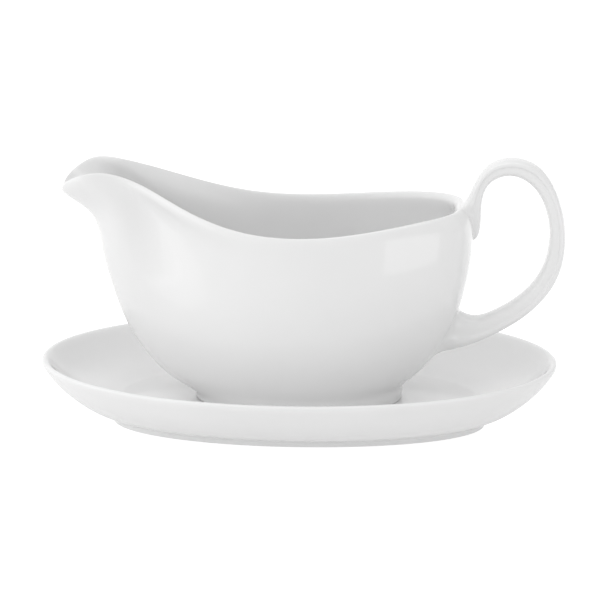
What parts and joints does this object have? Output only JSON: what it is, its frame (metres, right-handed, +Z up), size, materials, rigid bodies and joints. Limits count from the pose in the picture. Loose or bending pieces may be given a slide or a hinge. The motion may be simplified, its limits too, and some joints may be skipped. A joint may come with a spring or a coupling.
{
  "type": "gravy boat with saucer",
  "caption": "Oval porcelain gravy boat with a raised pouring spout and a tall loop handle, standing on its own oval saucer.",
  "frame": {"origin": "middle of the whole set's length and width, at the table under the saucer's foot ring", "axes": "+X from the spout towards the handle along the long side, +Y across, +Z up from the table"},
  "size_m": [0.2274, 0.1498, 0.12],
  "materials": {
    "glazed_porcelain": "clear gloss glaze over white porcelain"
  },
  "bodies": {
    "saucer": {"saucer": "glazed_porcelain"},
    "boat": {"boat_body": "glazed_porcelain", "boat_handle": "glazed_porcelain"}
  },
  "joints": [
    {"name": "boat_lift", "type": "slide", "parent": "saucer", "child": "boat", "axis": [0, 0, 1], "range_m": [0, 0.12]}
  ]
}
